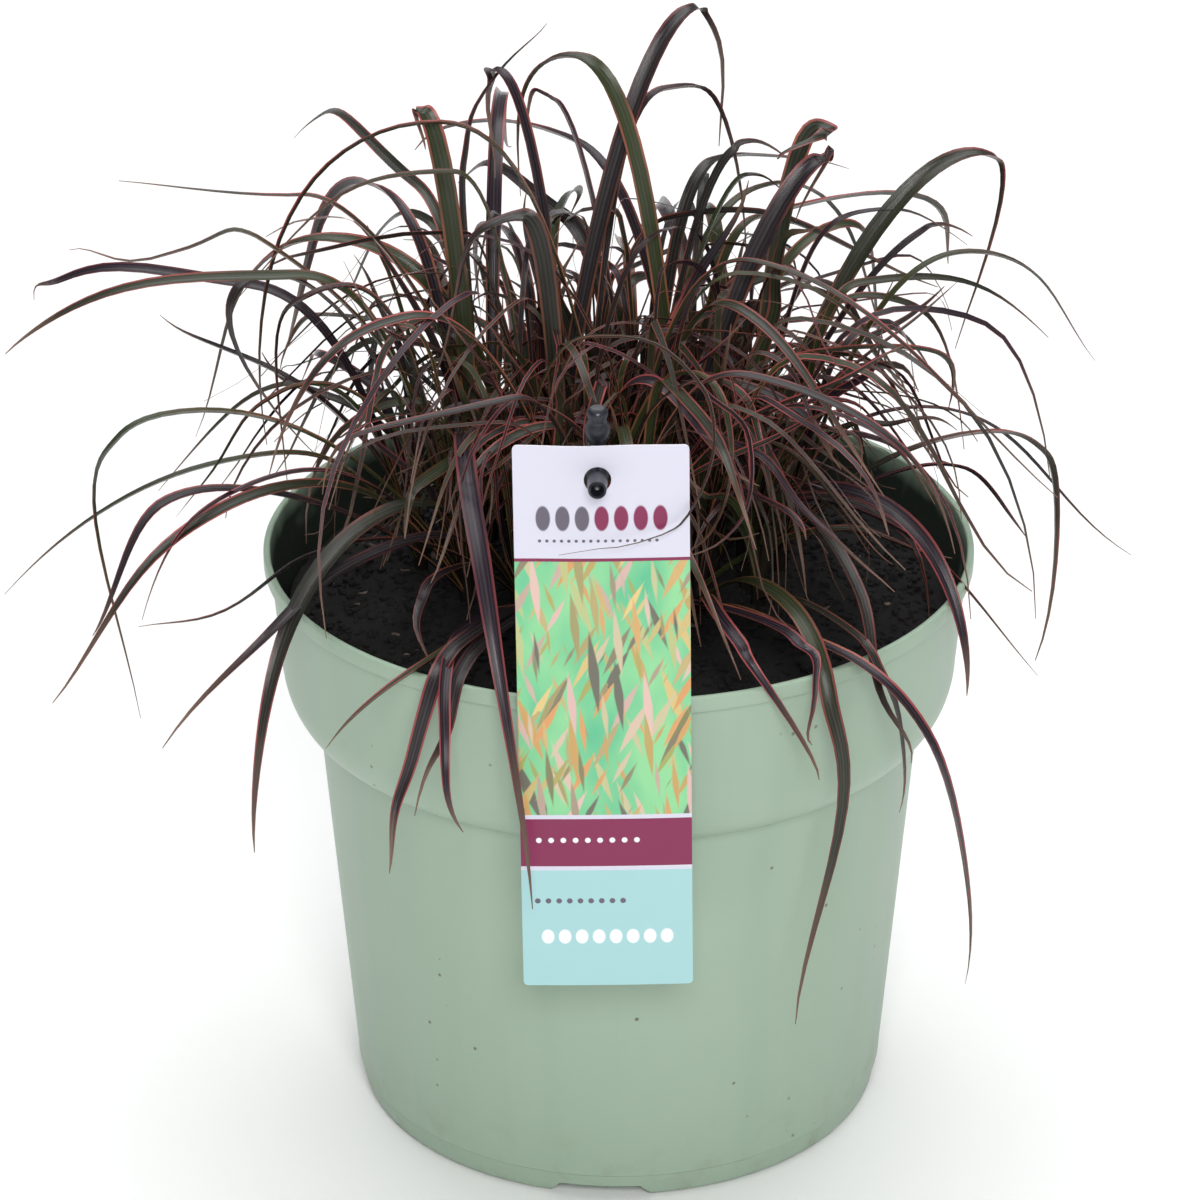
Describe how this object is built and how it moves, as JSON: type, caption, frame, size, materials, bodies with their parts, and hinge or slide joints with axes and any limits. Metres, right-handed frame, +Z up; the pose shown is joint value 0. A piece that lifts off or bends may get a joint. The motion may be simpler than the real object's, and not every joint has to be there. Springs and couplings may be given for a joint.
{
  "type": "potted hook sedge",
  "caption": "Bronze sedge with arching blades, growing in a round plastic nursery pot with a plain hanging plant label.",
  "frame": {"origin": "the middle of the pot's underside, on the ground and on the pot's axis", "axes": "+Z up along the pot's axis; the label hangs on the -Y side, the front"},
  "size_m": [0.3502, 0.3352, 0.3449],
  "materials": {
    "pot_plastic": "satin moulded plastic, sage green",
    "potting_soil": "dark crumbly peat, matt",
    "label_card": "thin printed plastic card",
    "peg_plastic": "black plastic, satin",
    "sedge_leaf": "bronze leaf with red margins, satin"
  },
  "bodies": {
    "root": {"pot": "pot_plastic", "soil": "potting_soil", "label": "label_card", "label_peg": "peg_plastic", "tuft_01": "sedge_leaf", "tuft_02": "sedge_leaf", "tuft_03": "sedge_leaf", "tuft_04": "sedge_leaf", "tuft_05": "sedge_leaf", "tuft_06": "sedge_leaf", "tuft_07": "sedge_leaf", "tuft_08": "sedge_leaf", "tuft_09": "sedge_leaf", "tuft_10": "sedge_leaf", "tuft_11": "sedge_leaf", "tuft_12": "sedge_leaf", "tuft_13": "sedge_leaf", "tuft_14": "sedge_leaf", "tuft_15": "sedge_leaf", "tuft_16": "sedge_leaf", "tuft_17": "sedge_leaf", "tuft_18": "sedge_leaf", "tuft_19": "sedge_leaf", "tuft_20": "sedge_leaf", "tuft_21": "sedge_leaf", "tuft_22": "sedge_leaf", "tuft_23": "sedge_leaf", "tuft_24": "sedge_leaf", "tuft_25": "sedge_leaf", "tuft_26": "sedge_leaf", "tuft_27": "sedge_leaf", "tuft_28": "sedge_leaf", "tuft_29": "sedge_leaf", "tuft_30": "sedge_leaf", "tuft_31": "sedge_leaf", "tuft_32": "sedge_leaf", "tuft_33": "sedge_leaf", "tuft_34": "sedge_leaf", "tuft_35": "sedge_leaf", "tuft_36": "sedge_leaf", "tuft_37": "sedge_leaf", "tuft_38": "sedge_leaf", "tuft_39": "sedge_leaf", "tuft_40": "sedge_leaf"}
  },
  "joints": []
}
